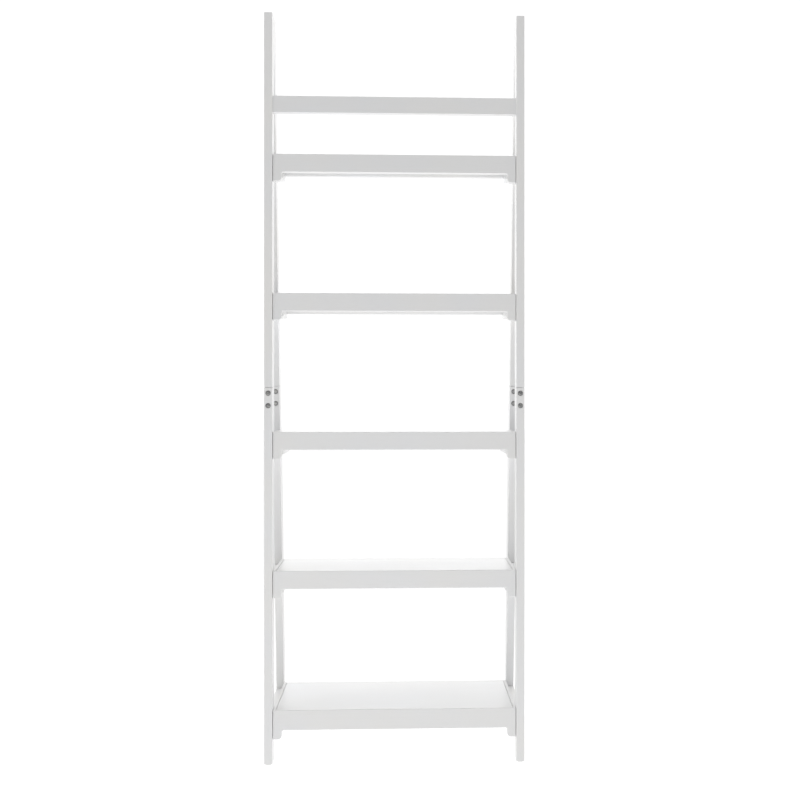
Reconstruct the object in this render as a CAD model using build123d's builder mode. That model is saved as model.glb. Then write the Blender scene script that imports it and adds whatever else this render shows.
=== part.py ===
from build123d import *
import math
import os

# Ladder shelf: two A-shaped side frames that carry five trays of growing depth.
# Frame: +Z up, +Y towards the back, X across. Origin on the floor, centred in X and in depth.
# All sizes are in millimetres.

# Whole object
height = 1800.0
overall_width = 625.0
foot_spread = 280.0  # from the front legs' front face to the rear legs' front face, at the floor

# Leg and side rail stock
stock_width = 20.0  # across X
stock_depth = 40.0
edge_round = 1.5
long_edge = 300.0  # longer edges than this run along a leg, and are rounded
glide_height = 3.0

# The rear legs lean forwards and lie flat on the front legs over a short length at the top
apex_contact = 60.0
rake = math.atan((foot_spread - stock_depth) / (height - apex_contact))
raked_depth = stock_depth / math.cos(rake)
overall_depth = foot_spread - glide_height * math.tan(rake) + raked_depth
front_y = -overall_depth / 2
leg_back_y = front_y + stock_depth
leg_x = (overall_width - stock_width) / 2
inner_half = overall_width / 2 - stock_width

# Half-lap joints that split each leg at mid-height
front_lap_z = 875.0
rear_lap_z = 880.0
lap_length = 56.0
lap_gap = 0.8
lap_bolt_pitch = 30.0

# Trays, numbered from the floor up
lowest_tray_top = 131.0
tray_pitch = 333.0
shelf_tops = [lowest_tray_top + tray_pitch * level for level in range(5)]
board = 18.0
tray_recess = 3.0
rear_clearance = 8.0  # between a tray and the rear legs, at the tray's top
lowest_rear_reach = 7.0  # how far the lowest tray reaches in between the rear legs instead
apron_height = 43.0
lowest_apron_height = 48.0
apron_end_gap = 0.9
ear_width = 21.0
ear_drop = 22.0
ear_round = 9.0
ear_tip_round = 2.5
board_round = 1.3
side_board = 24.0
side_board_height = 54.0
panel = 12.0
panel_round = 0.6
panel_play = 0.05  # between a panel and the rebates in front of it and behind it
lip = 7.2  # what the side board leaves outside the panel
edge_lip = 8.0  # what the apron and the rear board leave outside the panel
groove = 0.8  # the shadow line along both sides of a panel
joint_play = 0.2
ear_tolerance = 0.01  # for picking out the corners where an ear meets the apron

# Side rails, in the plane of the legs
rail_drop = 15.0  # from the tray's top down to the rail's top

# Top rail, between the front legs
top_rail_z = 1582.0
top_rail_bolt_z = top_rail_z + 9.0
top_rail_dowel_z = top_rail_z - 11.0

# Fasteners: M6 bolts with low domed heads in threaded inserts, and 6 mm dowels
bolt_radius = 3.0
bolt_clearance = 3.3
head_radius = 6.0
head_height = 3.0
head_recess = 3.3
head_pocket = 6.4
head_flat_radius = 3.1
head_shoulder_inset = 1.2
head_shoulder_drop = 0.6
head_side_drop = 1.8
shank_chamfer = 1.0
socket_radius = 2.3
socket_depth = 2.2
insert_radius = 5.0
insert_bore = 3.05
insert_length = 13.0
insert_pocket = insert_radius + 0.05
insert_hole = insert_length + 1.5
insert_set = 0.1  # how far an insert sits below the face it is screwed into
turned_chamfer = 0.8
lap_bolt = 27.0
tray_bolt = 26.0
front_bolt_inset = 28.0  # from the front legs' front face
rear_bolt_inset = 22.0  # from the tray's back
apex_bolt = 42.0
apex_bolt_z = 1778.0
apex_dowel_z = 1754.0
apex_head_y = leg_back_y + 31.0  # the apex bolts' heads, sunk in the rear legs' back
dowel_radius = 3.0
dowel_hole = 3.05
dowel_length = 30.0
dowel_play = 0.5
rail_dowel_pitch = 22.0
corner_dowel_drop = 21.0  # from the tray's top to the upper dowel in each corner
apron_low_dowel_drop = 46.0
rear_low_dowel_drop = 35.0
apron_dowel_embed = 10.0
side_dowel_embed = 12.0

glide_width = 15.0
glide_length = 32.0
glide_stem = 12.0
glide_stem_radius = 2.0
glide_stem_play = 1.0
glide_corner = 4.0
glide_edge = 1.0

sides = {"left": -1, "right": 1}
os.makedirs("parts", exist_ok=True)


def rear_face_y(z):
    """Y of the rear legs' front face at height z, below the apex contact."""
    return front_y + foot_spread - z * math.tan(rake)


def tray_back(top):
    """Y of a tray's back, for a tray whose top is at this height."""
    reach = lowest_rear_reach if top == lowest_tray_top else -rear_clearance
    return rear_face_y(top) + reach


front_foot_y = front_y + stock_depth / 2
rear_foot_y = rear_face_y(glide_height) + raked_depth / 2


def across(side, y, z, x=overall_width / 2):
    """Workplane on a face that looks sideways, away from the middle."""
    return Plane(origin=(side * x, y, z), z_dir=(side, 0, 0))


def inward(side, y, z, x):
    """Workplane on a face that looks sideways, towards the middle."""
    return Plane(origin=(side * x, y, z), z_dir=(-side, 0, 0))


def facing_front(x, y, z):
    return Plane(origin=(x, y, z), z_dir=(0, -1, 0))


def facing_back(x, y, z):
    return Plane(origin=(x, y, z), z_dir=(0, 1, 0))


def facing_down(x, y, z):
    return Plane(origin=(x, y, z), z_dir=(0, 0, -1))


def facing_raked_front(x, z):
    """Workplane on the rear leg's raked front face."""
    return Plane(origin=(x, rear_face_y(z), z), z_dir=(0, -math.cos(rake), -math.sin(rake)))


def deeper(plane, distance):
    """The same workplane, moved into the material."""
    return plane.offset(-distance)


def save(builder, label):
    builder.part.label = label
    export_step(builder.part, f"parts/{label}.step")


def place_copies(shape, planes, label):
    """One node that holds a copy of a fastener on each workplane."""
    with BuildPart() as group:
        with Locations(*[plane.location for plane in planes]):
            add(shape)
    save(group, label)


# Where the fasteners go

def front_lap_planes(side):
    heights = [front_lap_z + sign * lap_bolt_pitch / 2 for sign in (-1, 1)]
    return [facing_front(side * leg_x, front_y, z) for z in heights]


def rear_lap_planes(side):
    heights = [rear_lap_z + sign * lap_bolt_pitch / 2 for sign in (-1, 1)]
    return [facing_raked_front(side * leg_x, z) for z in heights]


def tray_bolt_points(top):
    """(y, z) of a tray's two bolts on one side: one through the front leg, one through the rail."""
    z = top - rail_drop - stock_depth / 2
    return [(front_y + front_bolt_inset, z), (tray_back(top) - rear_bolt_inset, z)]


def rail_dowel_heights(top):
    middle = top - rail_drop - stock_depth / 2
    return [middle + sign * rail_dowel_pitch / 2 for sign in (-1, 1)]


def corner_dowel_heights(top, low_drop):
    return [top - corner_dowel_drop, top - low_drop]


top_rail_y = front_y + tray_recess + board / 2


# Legs: each is an outline in the YZ plane, pushed across X

def front_leg(side, upper):
    middle = front_y + stock_depth / 2
    if upper:
        shoulder, tongue_end = front_lap_z + lap_length / 2, front_lap_z - lap_length / 2
        outline = [
            (front_y, height),
            (front_y, shoulder + lap_gap),
            (middle, shoulder + lap_gap),
            (middle, tongue_end + lap_gap),
            (leg_back_y, tongue_end + lap_gap),
            (leg_back_y, height),
        ]
    else:
        tongue_end, shoulder = front_lap_z + lap_length / 2, front_lap_z - lap_length / 2
        outline = [
            (front_y, glide_height),
            (front_y, tongue_end),
            (middle, tongue_end),
            (middle, shoulder),
            (leg_back_y, shoulder),
            (leg_back_y, glide_height),
        ]
    tops = [top for top in shelf_tops if (top > front_lap_z) == upper]
    with BuildPart() as leg:
        with BuildSketch(Plane.YZ.offset(side * leg_x - stock_width / 2)):
            with BuildLine():
                Polyline(*outline, close=True)
            make_face()
        extrude(amount=stock_width)
        fillet(leg.edges().filter_by(Axis.Z).filter_by(lambda edge: edge.length > long_edge), edge_round)
        with Locations(*[across(side, *tray_bolt_points(top)[0]).location for top in tops]):
            CounterBoreHole(bolt_clearance, head_pocket, head_recess, 2 * stock_width)
        rail_ends = [facing_back(side * leg_x, leg_back_y, z)
                     for top in tops for z in rail_dowel_heights(top)]
        with Locations(*[plane.location for plane in rail_ends]):
            Hole(dowel_hole, dowel_length / 2 + dowel_play)
        lap_bolts = front_lap_planes(side)
        if upper:
            with Locations(*[deeper(plane, stock_depth / 2).location for plane in lap_bolts]):
                Hole(insert_pocket, insert_hole)
            with Locations(across(side, top_rail_y, top_rail_bolt_z).location):
                CounterBoreHole(bolt_clearance, head_pocket, head_recess, 2 * stock_width)
            with Locations(inward(side, top_rail_y, top_rail_dowel_z, inner_half).location):
                Hole(dowel_hole, dowel_length / 2 + dowel_play)
            with Locations(facing_back(side * leg_x, leg_back_y, apex_bolt_z).location):
                Hole(insert_pocket, insert_hole)
            with Locations(facing_back(side * leg_x, leg_back_y, apex_dowel_z).location):
                Hole(dowel_hole, dowel_length / 2 + dowel_play)
        else:
            with Locations(*[plane.location for plane in lap_bolts]):
                CounterBoreHole(bolt_clearance, head_pocket, head_recess, stock_depth / 2)
            with Locations(facing_down(side * leg_x, front_foot_y, glide_height).location):
                Hole(glide_stem_radius + joint_play, glide_stem + glide_stem_play)
    return leg


def raked_point(z, inset):
    """(y, z) reached from the rear leg's front face at height z, going square into the leg."""
    return (rear_face_y(z) + inset * math.cos(rake), z + inset * math.sin(rake))


def rear_leg(side, upper):
    half = stock_depth / 2
    if upper:
        shoulder, tongue_end = rear_lap_z + lap_length / 2, rear_lap_z - lap_length / 2
        outline = [
            (leg_back_y, height),
            (leg_back_y, height - apex_contact),
            raked_point(shoulder + lap_gap, 0),
            raked_point(shoulder + lap_gap, half),
            raked_point(tongue_end + lap_gap, half),
            raked_point(tongue_end + lap_gap, stock_depth),
            (rear_face_y(height) + raked_depth, height),
        ]
    else:
        tongue_end, shoulder = rear_lap_z + lap_length / 2, rear_lap_z - lap_length / 2
        outline = [
            (rear_face_y(glide_height), glide_height),
            raked_point(tongue_end, 0),
            raked_point(tongue_end, half),
            raked_point(shoulder, half),
            raked_point(shoulder, stock_depth),
            (rear_face_y(glide_height) + raked_depth, glide_height),
        ]
    tops = [top for top in shelf_tops if (top > rear_lap_z) == upper]
    with BuildPart() as leg:
        with BuildSketch(Plane.YZ.offset(side * leg_x - stock_width / 2)):
            with BuildLine():
                Polyline(*outline, close=True)
            make_face()
        extrude(amount=stock_width)
        fillet(leg.edges().filter_by(lambda edge: edge.length > long_edge), edge_round)
        rail_ends = [facing_front(side * leg_x, rear_face_y(z), z)
                     for top in tops for z in rail_dowel_heights(top)]
        with Locations(*[plane.location for plane in rail_ends]):
            Hole(dowel_hole, dowel_length / 2 + dowel_play)
        if upper:
            with Locations(*[deeper(plane, half).location for plane in rear_lap_planes(side)]):
                Hole(insert_pocket, insert_hole)
            with Locations(facing_back(side * leg_x, apex_head_y + head_recess, apex_bolt_z).location):
                CounterBoreHole(bolt_clearance, head_pocket, head_recess, 2 * stock_depth)
            with Locations(facing_front(side * leg_x, leg_back_y, apex_dowel_z).location):
                Hole(dowel_hole, dowel_length / 2 + dowel_play)
        else:
            with Locations(*[plane.location for plane in rear_lap_planes(side)]):
                CounterBoreHole(bolt_clearance, head_pocket, head_recess, half)
            with Locations(facing_down(side * leg_x, rear_foot_y, glide_height).location):
                Hole(glide_stem_radius + joint_play, glide_stem + glide_stem_play)
    return leg


for side_name, side in sides.items():
    save(front_leg(side, upper=False), f"{side_name}_front_leg_lower")
    save(front_leg(side, upper=True), f"{side_name}_front_leg_upper")
    save(rear_leg(side, upper=False), f"{side_name}_rear_leg_lower")
    save(rear_leg(side, upper=True), f"{side_name}_rear_leg_upper")


# Side rails: one beside each tray, square at the front and cut to the rake at the back

def side_rail(side, top):
    high = top - rail_drop
    low = high - stock_depth
    with BuildPart() as rail:
        with BuildSketch(Plane.YZ.offset(side * leg_x - stock_width / 2)):
            with BuildLine():
                Polyline(
                    (leg_back_y, low),
                    (rear_face_y(low), low),
                    (rear_face_y(high), high),
                    (leg_back_y, high),
                    close=True,
                )
            make_face()
        extrude(amount=stock_width)
        fillet(rail.edges().filter_by(Axis.Y), edge_round)
        with Locations(across(side, *tray_bolt_points(top)[1]).location):
            CounterBoreHole(bolt_clearance, head_pocket, head_recess, 2 * stock_width)
        heights = rail_dowel_heights(top)
        with Locations(*[facing_front(side * leg_x, leg_back_y, z).location for z in heights]):
            Hole(dowel_hole, dowel_length / 2 + dowel_play)
        with Locations(*[facing_back(side * leg_x, rear_face_y(z), z).location for z in heights]):
            Hole(dowel_hole, dowel_length / 2 + dowel_play)
    return rail


# Trays

apron_front_y = front_y + tray_recess
apron_back_y = apron_front_y + board
apron_half = inner_half - apron_end_gap
side_board_inner = inner_half - side_board
panel_half = inner_half - lip - groove


def front_apron(top, tall):
    """Board with a shaped ear below each end and a stopped rebate for the panel."""
    ear_inner = apron_half - ear_width
    ear_height = tall + ear_drop
    with BuildPart() as apron:
        with BuildSketch(Plane.XZ.offset(-apron_back_y)) as outline:
            with Locations((0, top - tall / 2)):
                Rectangle(2 * apron_half, tall)
            with Locations(*[(sign * (apron_half - ear_width / 2), top - ear_height / 2)
                             for sign in (-1, 1)]):
                Rectangle(ear_width, ear_height)
            at_ears = outline.vertices().filter_by(lambda v: abs(abs(v.X) - ear_inner) < ear_tolerance)
            fillet(at_ears.group_by(Axis.Y)[0], ear_round)
            at_ears = outline.vertices().filter_by(lambda v: abs(abs(v.X) - ear_inner) < ear_tolerance)
            fillet(at_ears.group_by(Axis.Y)[-1], ear_tip_round)
        extrude(amount=board)
        fillet(apron.faces().sort_by(Axis.Y)[0].edges(), board_round)
        rebate = (2 * (inner_half - lip), board - edge_lip, panel)
        with Locations((0, apron_back_y, top)):
            Box(*rebate, align=(Align.CENTER, Align.MAX, Align.MAX), mode=Mode.SUBTRACT)
        ends = [facing_back(sign * (inner_half - side_board / 2), apron_back_y, z)
                for sign in (-1, 1) for z in corner_dowel_heights(top, apron_low_dowel_drop)]
        with Locations(*[plane.location for plane in ends]):
            Hole(dowel_hole, apron_dowel_embed + dowel_play)
    return apron


def rear_board(top):
    """Plain board between the side boards, with a rebate along its front for the panel."""
    back = tray_back(top)
    with BuildPart() as rear:
        with Locations((0, back, top)):
            Box(2 * side_board_inner, board, apron_height, align=(Align.CENTER, Align.MAX, Align.MAX))
        fillet(rear.faces().sort_by(Axis.Y)[-1].edges().filter_by(Axis.X), edge_round)
        with Locations((0, back - edge_lip, top)):
            Box(2 * side_board_inner, board - edge_lip, panel,
                align=(Align.CENTER, Align.MAX, Align.MAX), mode=Mode.SUBTRACT)
        ends = [across(sign, back - board / 2, z, side_board_inner)
                for sign in (-1, 1) for z in corner_dowel_heights(top, rear_low_dowel_drop)]
        with Locations(*[plane.location for plane in ends]):
            Hole(dowel_hole, dowel_length - side_dowel_embed + dowel_play)
    return rear


def tray_side(side, top):
    """Side board behind the apron's ear, with a rebate for the panel, bolted to the side frame."""
    back = tray_back(top)
    with BuildPart() as side_board_part:
        with Locations((side * (inner_half - side_board / 2), apron_back_y, top)):
            Box(side_board, back - apron_back_y, side_board_height,
                align=(Align.CENTER, Align.MIN, Align.MAX))
        low_edges = side_board_part.edges().filter_by(Axis.Y).group_by(Axis.Z)[0]
        fillet(low_edges, edge_round)
        with Locations((side * side_board_inner, apron_back_y, top)):
            Box(2 * (side_board - lip), back - edge_lip - apron_back_y, 2 * panel,
                align=(Align.CENTER, Align.MIN, Align.CENTER), mode=Mode.SUBTRACT)
        with Locations(*[across(side, y, z, inner_half).location for y, z in tray_bolt_points(top)]):
            Hole(insert_pocket, insert_hole)
        front_ends = [facing_front(side * (inner_half - side_board / 2), apron_back_y, z)
                      for z in corner_dowel_heights(top, apron_low_dowel_drop)]
        with Locations(*[plane.location for plane in front_ends]):
            Hole(dowel_hole, dowel_length - apron_dowel_embed + dowel_play)
        rear_ends = [inward(side, back - board / 2, z, side_board_inner)
                     for z in corner_dowel_heights(top, rear_low_dowel_drop)]
        with Locations(*[plane.location for plane in rear_ends]):
            Hole(dowel_hole, side_dowel_embed + dowel_play)
    return side_board_part


def shelf_panel(top):
    near = apron_front_y + edge_lip + panel_play
    far = tray_back(top) - edge_lip - panel_play
    with BuildPart() as sheet:
        with Locations((0, (near + far) / 2, top)):
            Box(2 * panel_half, far - near, panel, align=(Align.CENTER, Align.CENTER, Align.MAX))
        fillet(sheet.faces().sort_by(Axis.Z)[-1].edges().filter_by(Axis.Y), panel_round)
    return sheet


for level, top in enumerate(shelf_tops, start=1):
    for side_name, side in sides.items():
        save(side_rail(side, top), f"{side_name}_side_rail_{level}")
        save(tray_side(side, top), f"tray_{level}_{side_name}_side")
    apron_here = lowest_apron_height if level == 1 else apron_height
    save(front_apron(top, apron_here), f"tray_{level}_front_apron")
    save(rear_board(top), f"tray_{level}_rear_board")
    save(shelf_panel(top), f"tray_{level}_panel")


# Top rail

with BuildPart() as top_rail:
    with Locations((0, top_rail_y, top_rail_z)):
        Box(2 * inner_half - joint_play, board, stock_depth)
    fillet(top_rail.edges().filter_by(Axis.X), board_round)
    rail_end = inner_half - joint_play / 2
    with Locations(*[across(sign, top_rail_y, top_rail_bolt_z, rail_end).location for sign in (-1, 1)]):
        Hole(insert_pocket, insert_hole)
    with Locations(*[across(sign, top_rail_y, top_rail_dowel_z, rail_end).location for sign in (-1, 1)]):
        Hole(dowel_hole, dowel_length / 2 + dowel_play)
save(top_rail, "top_rail")


# Fasteners

def domed_bolt(length):
    """M6 bolt, its head's underside on the workplane's origin and its shank going down."""
    with BuildPart() as bolt:
        with BuildSketch(Plane.XZ):
            with BuildLine():
                Line((0, head_height), (head_flat_radius, head_height))
                ThreePointArc((head_flat_radius, head_height),
                              (head_radius - head_shoulder_inset, head_height - head_shoulder_drop),
                              (head_radius, head_height - head_side_drop))
                Polyline((head_radius, head_height - head_side_drop), (head_radius, 0), (bolt_radius, 0),
                         (bolt_radius, -length + shank_chamfer), (bolt_radius - shank_chamfer, -length),
                         (0, -length), (0, head_height))
            make_face()
        revolve(axis=Axis.Z)
        with BuildSketch(Plane.XY.offset(head_height)):
            RegularPolygon(socket_radius, 6)
        extrude(amount=-socket_depth, mode=Mode.SUBTRACT)
    return bolt.part


with BuildPart() as threaded_insert:
    Cylinder(insert_radius, insert_length, align=(Align.CENTER, Align.CENTER, Align.MAX))
    chamfer(threaded_insert.edges().group_by(Axis.Z)[0], turned_chamfer)
    Hole(insert_bore)

with BuildPart() as dowel:
    Cylinder(dowel_radius, dowel_length)
    chamfer(dowel.edges().filter_by(GeomType.CIRCLE), turned_chamfer)

lap_planes = [plane for side in sides.values() for plane in front_lap_planes(side) + rear_lap_planes(side)]
place_copies(domed_bolt(lap_bolt), [deeper(plane, head_recess) for plane in lap_planes], "leg_joint_bolts")
place_copies(threaded_insert.part, [deeper(plane, stock_depth / 2 + insert_set) for plane in lap_planes],
             "leg_joint_inserts")

tray_planes = [across(side, y, z) for side in sides.values() for top in shelf_tops
               for y, z in tray_bolt_points(top)]
place_copies(domed_bolt(tray_bolt), [deeper(plane, head_recess) for plane in tray_planes], "tray_bolts")
place_copies(threaded_insert.part, [deeper(plane, stock_width + insert_set) for plane in tray_planes],
             "tray_inserts")

top_rail_planes = [across(side, top_rail_y, top_rail_bolt_z) for side in sides.values()]
place_copies(domed_bolt(tray_bolt), [deeper(plane, head_recess) for plane in top_rail_planes],
             "top_rail_bolts")
top_rail_insert_depth = stock_width + joint_play / 2 + insert_set
place_copies(threaded_insert.part, [deeper(plane, top_rail_insert_depth) for plane in top_rail_planes],
             "top_rail_inserts")

place_copies(domed_bolt(apex_bolt), [facing_back(side * leg_x, apex_head_y, apex_bolt_z)
                                     for side in sides.values()], "apex_bolts")
place_copies(threaded_insert.part, [facing_back(side * leg_x, leg_back_y - insert_set, apex_bolt_z)
                                    for side in sides.values()], "apex_inserts")

rail_dowels = []
for side in sides.values():
    for top in shelf_tops:
        for z in rail_dowel_heights(top):
            rail_dowels.append(facing_back(side * leg_x, leg_back_y, z))
            rail_dowels.append(facing_back(side * leg_x, rear_face_y(z), z))
place_copies(dowel.part, rail_dowels, "side_rail_dowels")

apron_dowel_y = apron_back_y + dowel_length / 2 - apron_dowel_embed
apron_dowels = [facing_back(side * (inner_half - side_board / 2), apron_dowel_y, z)
                for side in sides.values() for top in shelf_tops
                for z in corner_dowel_heights(top, apron_low_dowel_drop)]
place_copies(dowel.part, apron_dowels, "apron_dowels")

rear_dowel_x = side_board_inner + side_dowel_embed - dowel_length / 2
rear_board_dowels = [across(side, tray_back(top) - board / 2, z, rear_dowel_x)
                     for side in sides.values() for top in shelf_tops
                     for z in corner_dowel_heights(top, rear_low_dowel_drop)]
place_copies(dowel.part, rear_board_dowels, "rear_board_dowels")

frame_dowels = [facing_back(side * leg_x, leg_back_y, apex_dowel_z) for side in sides.values()]
frame_dowels += [across(side, top_rail_y, top_rail_dowel_z, inner_half) for side in sides.values()]
place_copies(dowel.part, frame_dowels, "frame_dowels")

with BuildPart() as glide:
    with BuildSketch():
        RectangleRounded(glide_width, glide_length, glide_corner)
    extrude(amount=glide_height)
    fillet(glide.faces().sort_by(Axis.Z)[0].edges(), glide_edge)
    with Locations((0, 0, glide_height)):
        Cylinder(glide_stem_radius, glide_stem, align=(Align.CENTER, Align.CENTER, Align.MIN))
feet = [Plane(origin=(side * leg_x, y, 0)) for side in sides.values() for y in (front_foot_y, rear_foot_y)]
place_copies(glide.part, feet, "foot_glides")
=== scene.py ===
import math

import bpy
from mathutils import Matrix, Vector


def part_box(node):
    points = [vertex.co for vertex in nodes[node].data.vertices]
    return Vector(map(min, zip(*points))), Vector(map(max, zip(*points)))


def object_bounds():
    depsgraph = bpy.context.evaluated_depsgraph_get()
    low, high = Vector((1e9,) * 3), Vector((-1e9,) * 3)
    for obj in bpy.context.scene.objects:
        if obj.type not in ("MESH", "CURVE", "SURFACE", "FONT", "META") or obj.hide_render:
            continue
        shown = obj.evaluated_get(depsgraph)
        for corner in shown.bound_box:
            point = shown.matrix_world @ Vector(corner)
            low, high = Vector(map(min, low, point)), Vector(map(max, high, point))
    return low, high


# Looks for the ladder shelf: white satin paint on wood, plated bolts, soft white studio.
# Lengths are in metres, in the frame's own axes: +Z up, +Y towards the back.

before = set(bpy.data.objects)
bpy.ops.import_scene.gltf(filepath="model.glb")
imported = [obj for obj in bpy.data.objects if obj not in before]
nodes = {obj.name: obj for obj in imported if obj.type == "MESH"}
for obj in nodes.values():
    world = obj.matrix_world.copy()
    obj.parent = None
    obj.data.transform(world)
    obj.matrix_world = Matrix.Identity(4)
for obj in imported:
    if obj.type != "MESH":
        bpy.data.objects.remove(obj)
cad_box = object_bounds()
scene = bpy.context.scene


# Camera: level, at mid-height, turned a little to the right of square-on

lens_mm = 50.0
sensor_mm = 36.0
eye_height = 0.8736
front_distance = 2.669
camera_x = 0.016
camera_yaw = math.radians(2.37)
camera_shift_x = -0.0594
camera_reach = 100.0

front_face_y = cad_box[0].y
camera_data = bpy.data.cameras.new("camera")
camera_data.lens = lens_mm
camera_data.sensor_width = sensor_mm
camera_data.shift_x = camera_shift_x
camera_data.clip_end = camera_reach
camera = bpy.data.objects.new("camera", camera_data)
camera.location = (camera_x, front_face_y - front_distance, eye_height)
camera.rotation_euler = (math.radians(90), 0, -camera_yaw)
scene.collection.objects.link(camera)
scene.camera = camera


# Shader helpers

def tint(level, red, green, blue):
    """A colour near white: one level, times a factor for each channel."""
    return (level * red, level * green, level * blue, 1)


class Graph:
    """A short way to write a node tree: each call adds nodes and returns the output that is used."""

    def __init__(self, owner):
        owner.use_nodes = True
        self.tree = owner.node_tree
        self.tree.nodes.clear()

    def node(self, kind, settings=None, **inputs):
        made = self.tree.nodes.new(kind)
        for key, value in (settings or {}).items():
            setattr(made, key, value)
        for key, value in inputs.items():
            self.feed(made.inputs[key.replace("_", " ")], value)
        return made

    def feed(self, socket, value):
        if isinstance(value, bpy.types.NodeSocket):
            self.tree.links.new(value, socket)
        else:
            socket.default_value = value

    def math(self, operation, a, b=0.0, c=0.0, clamp=False):
        made = self.tree.nodes.new("ShaderNodeMath")
        made.operation = operation
        made.use_clamp = clamp
        for socket, value in zip(made.inputs, (a, b, c)):
            self.feed(socket, value)
        return made.outputs[0]

    def times(self, a, b):
        return self.math("MULTIPLY", a, b)

    def blend(self, a, share_a, b, share_b):
        return self.math("ADD", self.times(a, share_a), self.times(b, share_b))

    def vector_math(self, operation, a, b):
        made = self.node("ShaderNodeVectorMath", {"operation": operation})
        self.feed(made.inputs[0], a)
        self.feed(made.inputs[1], b)
        return made

    def remap(self, value, low, high, to_low=0.0, to_high=1.0):
        made = self.node("ShaderNodeMapRange", Value=value, From_Min=low, From_Max=high,
                         To_Min=to_low, To_Max=to_high)
        return made.outputs[0]

    def mix_color(self, factor, a, b):
        made = self.node("ShaderNodeMix", {"data_type": "RGBA"})
        self.feed(made.inputs[0], factor)
        self.feed(made.inputs[6], a)
        self.feed(made.inputs[7], b)
        return made.outputs[2]


class Shader(Graph):
    """The node tree of one material, around a Principled shader."""

    random_start = 40.0

    def __init__(self, name):
        self.material = bpy.data.materials.new(name)
        super().__init__(self.material)
        self.bsdf = self.node("ShaderNodeBsdfPrincipled")
        self.node("ShaderNodeOutputMaterial", Surface=self.bsdf.outputs[0])

    def position(self, scale=(1, 1, 1), turn=(0, 0, 0)):
        """Object coordinates, stretched by scale, with a random start on each object."""
        place = self.node("ShaderNodeTexCoord").outputs["Object"]
        start = self.times(self.node("ShaderNodeObjectInfo").outputs["Random"], self.random_start)
        mapped = self.node("ShaderNodeMapping", Vector=place, Rotation=turn, Scale=scale)
        return self.vector_math("ADD", mapped.outputs[0], start).outputs[0]

    def noise(self, scale, detail, roughness=0.5, distortion=0.0, at=None):
        """Noise from 0 to 1, at plain object coordinates unless others are given."""
        made = self.node("ShaderNodeTexNoise", Vector=at or self.position(), Scale=scale,
                         Detail=detail, Roughness=roughness, Distortion=distortion)
        return made.outputs["Fac"]

    def edge_mask(self, radius):
        """1 on an edge, fading to 0 on the flat within the radius."""
        bevel = self.node("ShaderNodeBevel", {"samples": 6}, Radius=radius)
        flat = self.node("ShaderNodeNewGeometry").outputs["Normal"]
        facing = self.vector_math("DOT_PRODUCT", bevel.outputs[0], flat).outputs["Value"]
        return self.remap(facing, 0.98, 0.72)

    def bump(self, height, distance, strength, normal=None):
        made = self.node("ShaderNodeBump", Height=height, Distance=distance, Strength=strength)
        if normal is not None:
            self.feed(made.inputs["Normal"], normal)
        return made.outputs[0]

    def finish(self, **inputs):
        for key, value in inputs.items():
            self.feed(self.bsdf.inputs[key.replace("_", " ")], value)
        return self.material


# Materials

grain_squeeze = 14.0  # how much finer the grain is across a piece than along it


def painted_wood(name, white, along, turn=(0, 0, 0)):
    """White satin brush paint. The grain runs along one axis: it shows a little through the paint."""
    shader = Shader(name)
    grain_scale = tuple(1.0 if axis == along else grain_squeeze for axis in "xyz")
    grain = shader.position(grain_scale, turn)
    fibres = shader.noise(30.0, 5.0, 0.62, 0.3, at=grain)
    growth = shader.noise(4.0, 2.0, 0.5, 0.6, at=grain)
    ring_phase = shader.math("FRACT", shader.times(growth, 9.0))
    rings = shader.math("ABSOLUTE", shader.math("SUBTRACT", ring_phase, 0.5))
    peel = shader.noise(700.0, 2.0, 0.55)
    cloud = shader.noise(5.0, 3.0)
    dust = shader.noise(38.0, 4.0, 0.65)
    wear = shader.times(shader.edge_mask(0.0014), shader.remap(dust, 0.42, 0.68, 0.15, 1.0))

    cool = tint(white, 0.985, 0.992, 1.005)
    warm = tint(white, 1.008, 1.0, 0.982)
    grain_tint = tint(white, 0.93, 0.925, 0.905)
    worn = tint(white, 0.80, 0.775, 0.73)
    color = shader.mix_color(shader.remap(cloud, 0.3, 0.7), cool, warm)
    color = shader.mix_color(shader.times(shader.remap(fibres, 0.52, 0.74), 0.22), color, grain_tint)
    color = shader.mix_color(shader.times(wear, 0.38), color, worn)

    gloss = shader.remap(shader.blend(cloud, 0.5, fibres, 0.5), 0.3, 0.7, 0.34, 0.47)
    gloss = shader.math("ADD", gloss, shader.times(wear, 0.12), clamp=True)
    normal = shader.bump(shader.blend(fibres, 0.6, rings, 0.35), 0.00022, 0.55)
    normal = shader.bump(peel, 0.00005, 0.6, normal)
    return shader.finish(Base_Color=color, Roughness=gloss, Normal=normal,
                         Specular_IOR_Level=0.45, Coat_Weight=0.12, Coat_Roughness=0.28)


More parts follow.
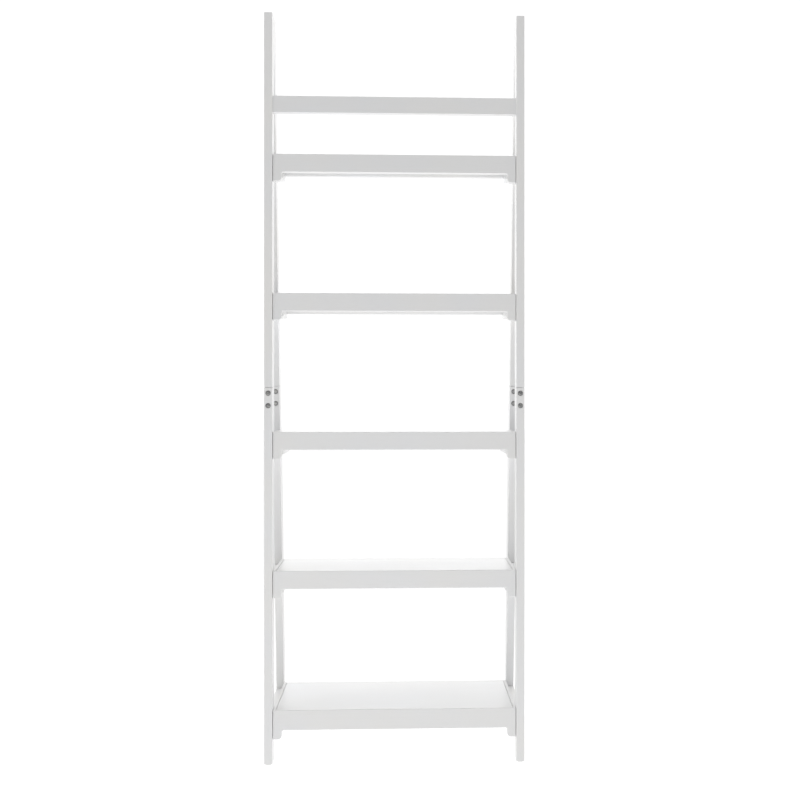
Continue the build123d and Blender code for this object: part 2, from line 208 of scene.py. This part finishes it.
def painted_board(name, white):
    """White satin paint rolled on smooth board: no grain, a fine stipple and faint roller lanes."""
    shader = Shader(name)
    stipple = shader.noise(520.0, 3.0, 0.6)
    lanes = shader.noise(6.0, 2.0, at=shader.position((1.0, 9.0, 9.0)))
    cloud = shader.noise(3.5, 3.0)
    dust = shader.noise(60.0, 5.0, 0.7)
    wear = shader.times(shader.edge_mask(0.0012), shader.remap(dust, 0.4, 0.7, 0.1, 1.0))

    cool = tint(white, 0.99, 0.995, 1.004)
    warm = tint(white, 1.004, 1.0, 0.986)
    scuff = tint(white, 0.95, 0.945, 0.93)
    worn = tint(white, 0.82, 0.79, 0.74)
    color = shader.mix_color(shader.remap(cloud, 0.3, 0.7), cool, warm)
    color = shader.mix_color(shader.times(shader.remap(dust, 0.58, 0.78), 0.25), color, scuff)
    color = shader.mix_color(shader.times(wear, 0.35), color, worn)

    gloss = shader.remap(shader.blend(cloud, 0.4, lanes, 0.6), 0.3, 0.7, 0.30, 0.42)
    relief = shader.math("ADD", stipple, shader.times(lanes, 1.5))
    return shader.finish(Base_Color=color, Roughness=gloss, Normal=shader.bump(relief, 0.00006, 0.6),
                         Specular_IOR_Level=0.45, Coat_Weight=0.15, Coat_Roughness=0.22)


def plated_steel(name, tone, roughness):
    """Zinc-plated steel: a fine irregular surface, cloudy passivation and bright worn edges."""
    shader = Shader(name)
    marks = shader.noise(2600.0, 4.0, 0.6)
    cloud = shader.noise(260.0, 3.0)
    dark = tint(tone, 0.72, 0.73, 0.76)
    pale = tint(tone, 1.10, 1.09, 1.05)
    bright = tint(tone, 1.45, 1.44, 1.40)
    color = shader.mix_color(shader.remap(cloud, 0.35, 0.65), dark, pale)
    color = shader.mix_color(shader.times(shader.edge_mask(0.0005), 0.5), color, bright)
    gloss = shader.remap(shader.blend(marks, 0.5, cloud, 0.5), 0.3, 0.7,
                         roughness - 0.08, roughness + 0.1)
    return shader.finish(Base_Color=color, Roughness=gloss, Normal=shader.bump(marks, 0.00003, 0.5),
                         Metallic=1.0)


def bare_beech(name):
    """Pale unpainted beech with short dark flecks along its length."""
    shader = Shader(name)
    fibres = shader.noise(220.0, 5.0, 0.65, at=shader.position((6, 1, 6)))
    flecks = shader.noise(300.0, 2.0, at=shader.position((9, 2, 9)))
    color = shader.mix_color(shader.remap(fibres, 0.3, 0.7), (0.60, 0.42, 0.25, 1), (0.74, 0.57, 0.38, 1))
    color = shader.mix_color(shader.times(shader.remap(flecks, 0.62, 0.72), 0.6), color,
                             (0.33, 0.19, 0.10, 1))
    gloss = shader.remap(fibres, 0.3, 0.7, 0.55, 0.72)
    return shader.finish(Base_Color=color, Roughness=gloss, Normal=shader.bump(fibres, 0.0001, 0.5))


def moulded_plastic(name):
    """Off-white moulded plastic with a fine spark-eroded texture."""
    shader = Shader(name)
    grain = shader.noise(1800.0, 3.0, 0.6)
    cloud = shader.noise(60.0, 3.0)
    color = shader.mix_color(shader.remap(cloud, 0.3, 0.7), (0.74, 0.74, 0.72, 1), (0.82, 0.82, 0.80, 1))
    gloss = shader.remap(grain, 0.3, 0.7, 0.42, 0.58)
    return shader.finish(Base_Color=color, Roughness=gloss, Normal=shader.bump(grain, 0.00004, 0.6))


# The rear legs' grain follows their rake, worked out from the lower leg's box

raked_leg_depth = 0.0404  # front to back, measured level
rear_leg_low, rear_leg_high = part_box("left_rear_leg_lower")
rear_leg_run = rear_leg_high.y - rear_leg_low.y - raked_leg_depth
rake = math.atan(rear_leg_run / (rear_leg_high.z - rear_leg_low.z))

white_wood = 0.86
white_panel = 0.88
upright_paint = painted_wood("upright_paint", white_wood, "z")
raked_paint = painted_wood("raked_paint", white_wood, "z", (-rake, 0, 0))
depth_paint = painted_wood("depth_paint", white_wood, "y")
cross_paint = painted_wood("cross_paint", white_wood, "x")
panel_paint = painted_board("panel_paint", white_panel)
bolt_steel = plated_steel("bolt_steel", 0.42, 0.32)
insert_steel = plated_steel("insert_steel", 0.60, 0.36)
dowel_beech = bare_beech("dowel_beech")
glide_plastic = moulded_plastic("glide_plastic")


def material_for(name):
    if name.endswith("_bolts"):
        return bolt_steel
    if name.endswith("_inserts"):
        return insert_steel
    if name.endswith("_dowels"):
        return dowel_beech
    if name == "foot_glides":
        return glide_plastic
    if name.endswith("_panel"):
        return panel_paint
    if "_rear_leg_" in name:
        return raked_paint
    if "_front_leg_" in name:
        return upright_paint
    if "_side_rail_" in name or name.endswith("_side"):
        return depth_paint
    return cross_paint


for name, node in nodes.items():
    material = material_for(name)
    if not node.material_slots:
        node.data.materials.append(material)
    for slot in node.material_slots:
        slot.material = material


# Floor: pale, with painted light: it glows, and the glow is a little brighter round the object, a painted
# pool of light

floor_half = 30.0
floor_glow_radius = 0.4
floor_fade_radius = 2.6
floor_glow_near = 0.94
floor_glow_far = 0.77
floor_dull = (0.29, 0.29, 0.29, 1)
floor_clean = (0.31, 0.31, 0.31, 1)


def pale_floor():
    shader = Shader("floor_white")
    place = shader.node("ShaderNodeTexCoord").outputs["Object"]
    distance = shader.node("ShaderNodeVectorMath", {"operation": "LENGTH"})
    shader.feed(distance.inputs[0], place)
    # painted light: the floor glows, brighter near the object than far off, a painted pool of light on
    # the floor
    glow = shader.remap(distance.outputs["Value"], floor_glow_radius, floor_fade_radius,
                        floor_glow_near, floor_glow_far)
    speck = shader.noise(90.0, 3.0, 0.6)
    cloud = shader.noise(1.2, 2.0)
    color = shader.mix_color(shader.remap(cloud, 0.3, 0.7), floor_dull, floor_clean)
    return shader.finish(Base_Color=color, Roughness=0.9, Specular_IOR_Level=0.0,
                         Emission_Color=(1, 1, 1, 1), Emission_Strength=glow,
                         Normal=shader.bump(speck, 0.0001, 0.2))


floor_corners = [(-floor_half, -floor_half, 0), (floor_half, -floor_half, 0),
                 (floor_half, floor_half, 0), (-floor_half, floor_half, 0)]
floor_mesh = bpy.data.meshes.new("floor")
floor_mesh.from_pydata(floor_corners, [], [(0, 1, 2, 3)])
floor_mesh.materials.append(pale_floor())
floor = bpy.data.objects.new("floor", floor_mesh)
scene.collection.objects.link(floor)


# Light: a white room, bright at the sides, above and behind, dim in front

room_base = 0.14
room_front_drop = 0.15
room_back_gain = 0.45
room_side = 1.25
room_top = 1.35
room_focus = 4.0  # how tightly the side and top light gather round their axes
room_sheen = 0.98  # more light from behind, in reflections only
backdrop_white = 1.1

world = bpy.data.worlds.new("white_room")
scene.world = world
room = Graph(world)


def toward(axis_part, gain, light):
    """Light that grows towards both ends of an axis, added to the light so far."""
    focused = room.math("POWER", room.math("ABSOLUTE", axis_part), room_focus)
    return room.math("MULTIPLY_ADD", focused, gain, light)


coordinates = room.node("ShaderNodeTexCoord").outputs["Generated"]
to_side, to_back, up = room.node("ShaderNodeSeparateXYZ", Vector=coordinates).outputs
path = room.node("ShaderNodeLightPath")
behind = room.math("MAXIMUM", to_back, 0.0)
in_front = room.math("MINIMUM", to_back, 0.0)
light = toward(to_side, room_side, room_base)
light = toward(up, room_top, light)
light = room.math("MULTIPLY_ADD", behind, room_back_gain, light)
light = room.math("MULTIPLY_ADD", in_front, room_front_drop, light)
sheen = room.times(room.times(behind, path.outputs["Is Glossy Ray"]), room_sheen)
light = room.math("ADD", light, sheen)
room_light = room.node("ShaderNodeBackground", Color=(1, 1, 1, 1), Strength=light)
backdrop = room.node("ShaderNodeBackground", Color=(1, 1, 1, 1), Strength=backdrop_white)
choice = room.node("ShaderNodeMixShader")
room.feed(choice.inputs[0], path.outputs["Is Camera Ray"])
room.feed(choice.inputs[1], room_light.outputs[0])
room.feed(choice.inputs[2], backdrop.outputs[0])
room.node("ShaderNodeOutputWorld", Surface=choice.outputs[0])


def softbox(name, location, target, size, power):
    data = bpy.data.lights.new(name, "AREA")
    data.shape = "RECTANGLE"
    data.size, data.size_y = size
    data.energy = power
    lamp = bpy.data.objects.new(name, data)
    lamp.location = location
    aim = Vector(target) - Vector(location)
    lamp.rotation_euler = aim.to_track_quat("-Z", "Y").to_euler()
    lamp.visible_camera = False
    scene.collection.objects.link(lamp)


shelf_middle = (0, 0, 0.9)
shelf_foot = (0, 0, 0.3)
softbox("left_softbox", (-2.6, -0.6, 1.9), shelf_middle, size=(1.6, 2.2), power=5)
softbox("top_softbox", (0.0, 0.4, 3.6), shelf_middle, size=(2.4, 2.4), power=8)
softbox("low_softbox", (-0.4, -2.6, 0.2), shelf_foot, size=(1.6, 0.6), power=5)

scene.view_settings.view_transform = "Standard"
